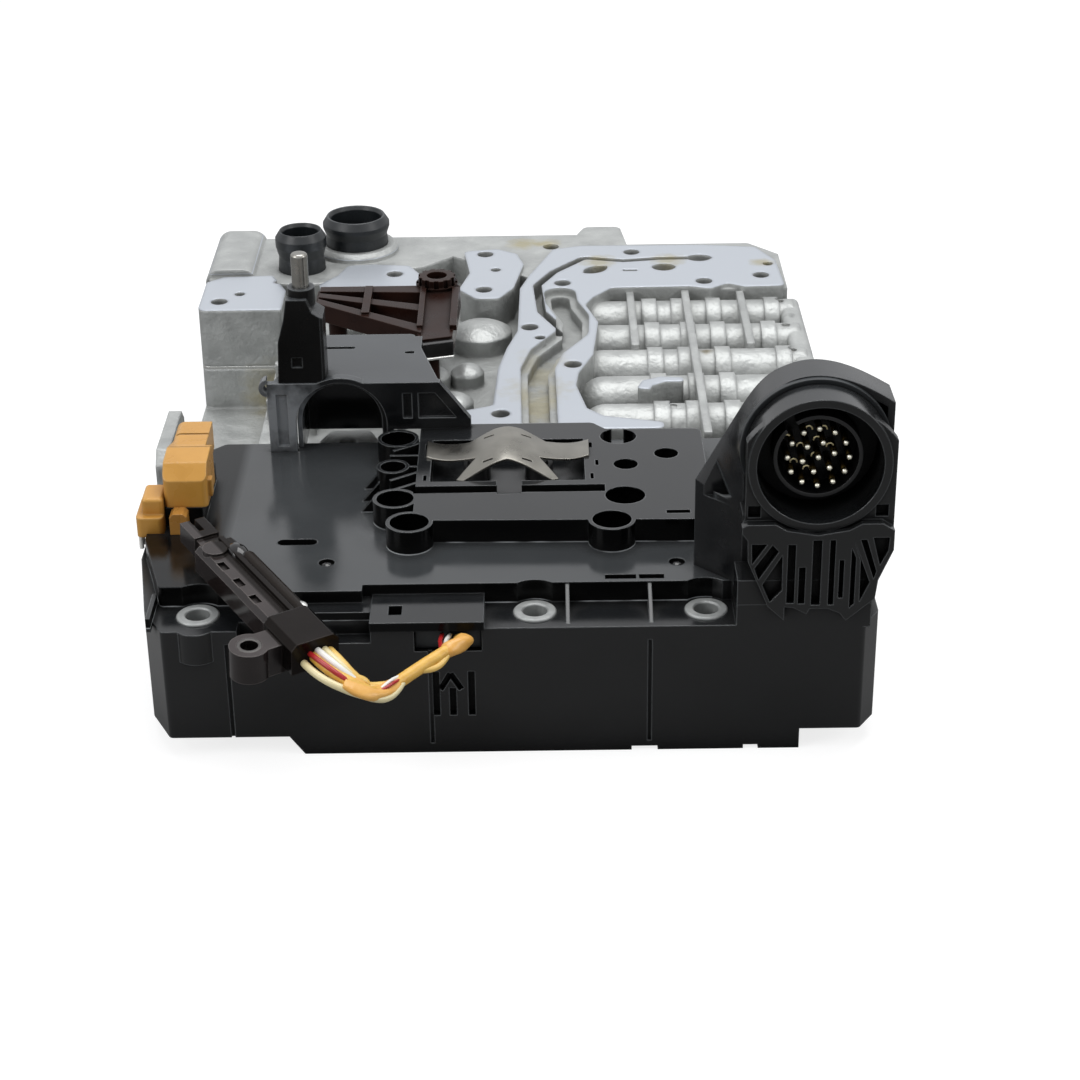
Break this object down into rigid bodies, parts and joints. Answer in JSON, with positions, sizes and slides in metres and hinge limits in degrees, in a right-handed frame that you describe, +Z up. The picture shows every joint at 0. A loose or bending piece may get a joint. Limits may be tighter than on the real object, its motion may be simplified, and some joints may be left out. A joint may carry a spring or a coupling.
{
  "type": "transmission mechatronic unit",
  "caption": "Automatic gearbox control unit: black electronic housing with a round multi-pin plug tower over an aluminium valve body with spools, solenoids and sensors.",
  "frame": {"origin": "on the flat underside of the lower casting, below the front edge of the housing's top plate, midway across", "axes": "+X to the right along the housing's front, +Y from the plug side to the sleeves at the back, +Z up out of the gasket lands"},
  "size_m": [0.2084, 0.3276, 0.1048],
  "materials": {
    "cast_aluminium": "cast, matt",
    "bright_steel": "bright",
    "bolt_steel": "zinc grey",
    "bush_steel": "turned",
    "spool_steel": "turned, hard coated",
    "spring_steel": "brushed",
    "plug_aluminium": "turned",
    "black_rubber": "matt",
    "black_plastic": "satin, glass filled",
    "gold_contact": "gold plated",
    "board_green": "satin",
    "chip_black": "satin",
    "solenoid_can": "plated",
    "brown_plastic": "satin",
    "gloss_black": "gloss",
    "orange_plastic": "satin",
    "amber_plastic": "satin",
    "wire_white": "satin",
    "yellow_sleeve": "woven sleeve"
  },
  "bodies": {
    "unit": {"lower_valve_body": "cast_aluminium", "upper_valve_body": "cast_aluminium", "separator_plate": "bright_steel", "plug_retaining_pins": "bright_steel", "check_balls": "bright_steel", "locating_dowels": "bright_steel", "solenoid_retainer": "bright_steel", "probe_pin": "bright_steel", "eyelet_bush": "bright_steel", "filter_screen": "bright_steel", "body_bolts": "bolt_steel", "board_screws": "bolt_steel", "compression_bushes": "bush_steel", "spool_spring_1": "spring_steel", "spool_spring_2": "spring_steel", "spool_spring_3": "spring_steel", "spool_spring_4": "spring_steel", "spool_spring_5": "spring_steel", "leaf_spring": "spring_steel", "bore_plug_1": "plug_aluminium", "bore_plug_2": "plug_aluminium", "bore_plug_3": "plug_aluminium", "bore_plug_4": "plug_aluminium", "bore_plug_5": "plug_aluminium", "base_plate": "plug_aluminium", "sleeve_small": "black_rubber", "sleeve_large": "black_rubber", "plug_seal": "black_rubber", "cable_grommet": "black_rubber", "control_housing": "black_plastic", "plug_hood": "black_plastic", "plug_frame": "black_plastic", "plug_insert": "black_plastic", "sensor_bracket": "black_plastic", "sensor_tower": "black_plastic", "contact_pins": "gold_contact", "circuit_board": "board_green", "board_chips": "chip_black", "pressure_sensors": "chip_black", "solenoid_1": "solenoid_can", "solenoid_2": "solenoid_can", "solenoid_3": "solenoid_can", "solenoid_4": "solenoid_can", "solenoid_5": "solenoid_can", "solenoid_6": "solenoid_can", "position_sensor": "brown_plastic", "loose_sensor": "brown_plastic", "sensor_magnet": "gloss_black", "orange_plug": "orange_plastic", "plug_cap": "orange_plastic", "plug_lock": "amber_plastic", "plug_wires": "wire_white", "sensor_cable": "yellow_sleeve"},
    "spool_body_1": {"spool_1": "spool_steel"},
    "spool_body_2": {"spool_2": "spool_steel"},
    "spool_body_3": {"spool_3": "spool_steel"},
    "spool_body_4": {"spool_4": "spool_steel"},
    "spool_body_5": {"spool_5": "spool_steel"}
  },
  "joints": [
    {"name": "spool_slide_1", "type": "slide", "parent": "unit", "child": "spool_body_1", "axis": [1, 0, 0], "range_m": [0, 0.006], "stiffness_N_per_m": 500, "springref_m": -0.004, "deforming": ["spool_spring_1"]},
    {"name": "spool_slide_2", "type": "slide", "parent": "unit", "child": "spool_body_2", "axis": [1, 0, 0], "range_m": [0, 0.006], "stiffness_N_per_m": 500, "springref_m": -0.004, "deforming": ["spool_spring_2"]},
    {"name": "spool_slide_3", "type": "slide", "parent": "unit", "child": "spool_body_3", "axis": [1, 0, 0], "range_m": [0, 0.006], "stiffness_N_per_m": 500, "springref_m": -0.004, "deforming": ["spool_spring_3"]},
    {"name": "spool_slide_4", "type": "slide", "parent": "unit", "child": "spool_body_4", "axis": [1, 0, 0], "range_m": [0, 0.006], "stiffness_N_per_m": 500, "springref_m": -0.004, "deforming": ["spool_spring_4"]},
    {"name": "spool_slide_5", "type": "slide", "parent": "unit", "child": "spool_body_5", "axis": [1, 0, 0], "range_m": [0, 0.006], "stiffness_N_per_m": 500, "springref_m": -0.004, "deforming": ["spool_spring_5"]}
  ]
}
